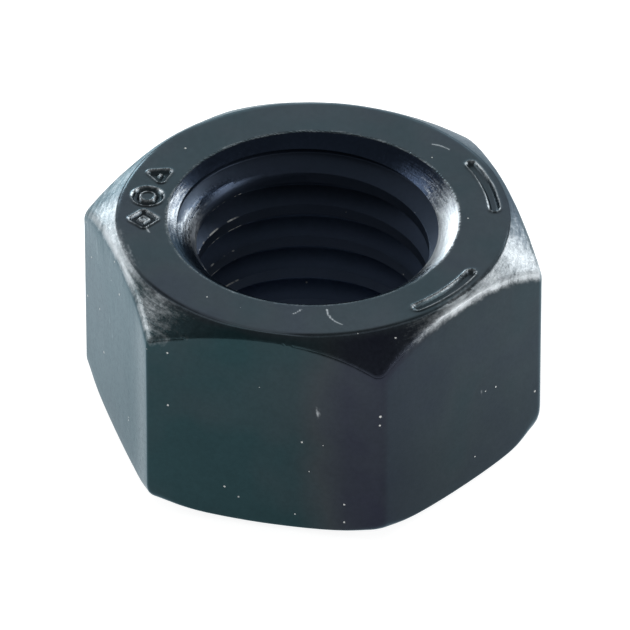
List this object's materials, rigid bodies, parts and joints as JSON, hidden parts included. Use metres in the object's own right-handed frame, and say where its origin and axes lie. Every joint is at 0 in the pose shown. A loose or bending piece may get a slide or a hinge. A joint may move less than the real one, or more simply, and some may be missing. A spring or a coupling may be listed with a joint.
{
  "type": "hex nut",
  "caption": "Plain hexagon nut with chamfered corners at both ends, a countersunk right-hand threaded hole, and stamped grade strokes on one face.",
  "frame": {"origin": "centre of the underside, on the thread axis", "axes": "+Z along the thread axis, from the underside to the stamped face; +X towards a corner of the hexagon, so two of the flats face +Y and -Y"},
  "size_m": [0.0274, 0.0238, 0.0139],
  "materials": {
    "black_oxide_steel": "smooth oiled black oxide with a blue-grey cast, glossy on the flats and rougher on the chamfers"
  },
  "bodies": {
    "root": {"hex_nut": "black_oxide_steel"}
  },
  "joints": []
}
